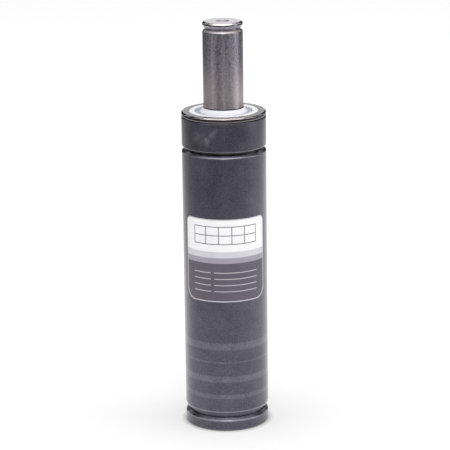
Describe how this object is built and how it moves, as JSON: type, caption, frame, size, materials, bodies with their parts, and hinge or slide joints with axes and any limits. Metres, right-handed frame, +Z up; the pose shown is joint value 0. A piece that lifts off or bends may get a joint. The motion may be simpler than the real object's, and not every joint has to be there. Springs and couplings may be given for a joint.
{
  "type": "nitrogen die spring",
  "caption": "Gas-charged die spring: a closed steel cylinder with a mounting groove near each end, a black cover, a white wiper and a ground rod that is pushed in against nitrogen.",
  "frame": {"origin": "centre of the foot's lower face", "axes": "+Z up along the rod, -Y towards the label, +X along the line of the two mounting holes"},
  "size_m": [0.0382, 0.0383, 0.1865],
  "materials": {
    "cylinder_steel": "satin black oxide on turned steel",
    "cover_steel": "black oxide on turned steel",
    "wiper_plastic": "moulded white, satin",
    "label_film": "printed film",
    "spring_steel": "drawn wire",
    "gland_steel": "turned",
    "bronze": "turned",
    "polyurethane": "moulded",
    "ptfe": "turned",
    "nitrile": "moulded",
    "rod_steel": "ground and nitrided",
    "wear_plastic": "turned",
    "valve_brass": "turned",
    "plug_steel": "black oxide"
  },
  "bodies": {
    "cylinder": {"cylinder_tube": "cylinder_steel", "top_cover": "cover_steel", "wiper_ring": "wiper_plastic", "label": "label_film", "retaining_ring": "spring_steel", "gland": "gland_steel", "guide_bush": "bronze", "rod_seal": "polyurethane", "seal_backup_ring": "ptfe", "seal_retainer": "gland_steel", "gland_o_ring": "nitrile", "gland_backup_ring": "ptfe", "valve_body": "valve_brass", "valve_cap": "valve_brass", "valve_spring": "spring_steel", "port_plug": "plug_steel", "port_seal": "nitrile"},
    "rod": {"piston_rod": "rod_steel", "stop_collar": "gland_steel", "collar_wear_ring": "wear_plastic", "collar_snap_ring": "spring_steel"},
    "poppet": {"valve_poppet": "valve_brass", "poppet_seal": "nitrile"}
  },
  "joints": [
    {"name": "rod_stroke", "type": "slide", "parent": "cylinder", "child": "rod", "axis": [0, 0, -1], "range_m": [0, 0.0381], "stiffness_N_per_m": 100, "springref_m": -0.03},
    {"name": "valve_lift", "type": "slide", "parent": "cylinder", "child": "poppet", "axis": [0, 0, 1], "range_m": [0, 0.0006], "stiffness_N_per_m": 100, "springref_m": -0.002, "deforming": ["valve_spring"]}
  ]
}
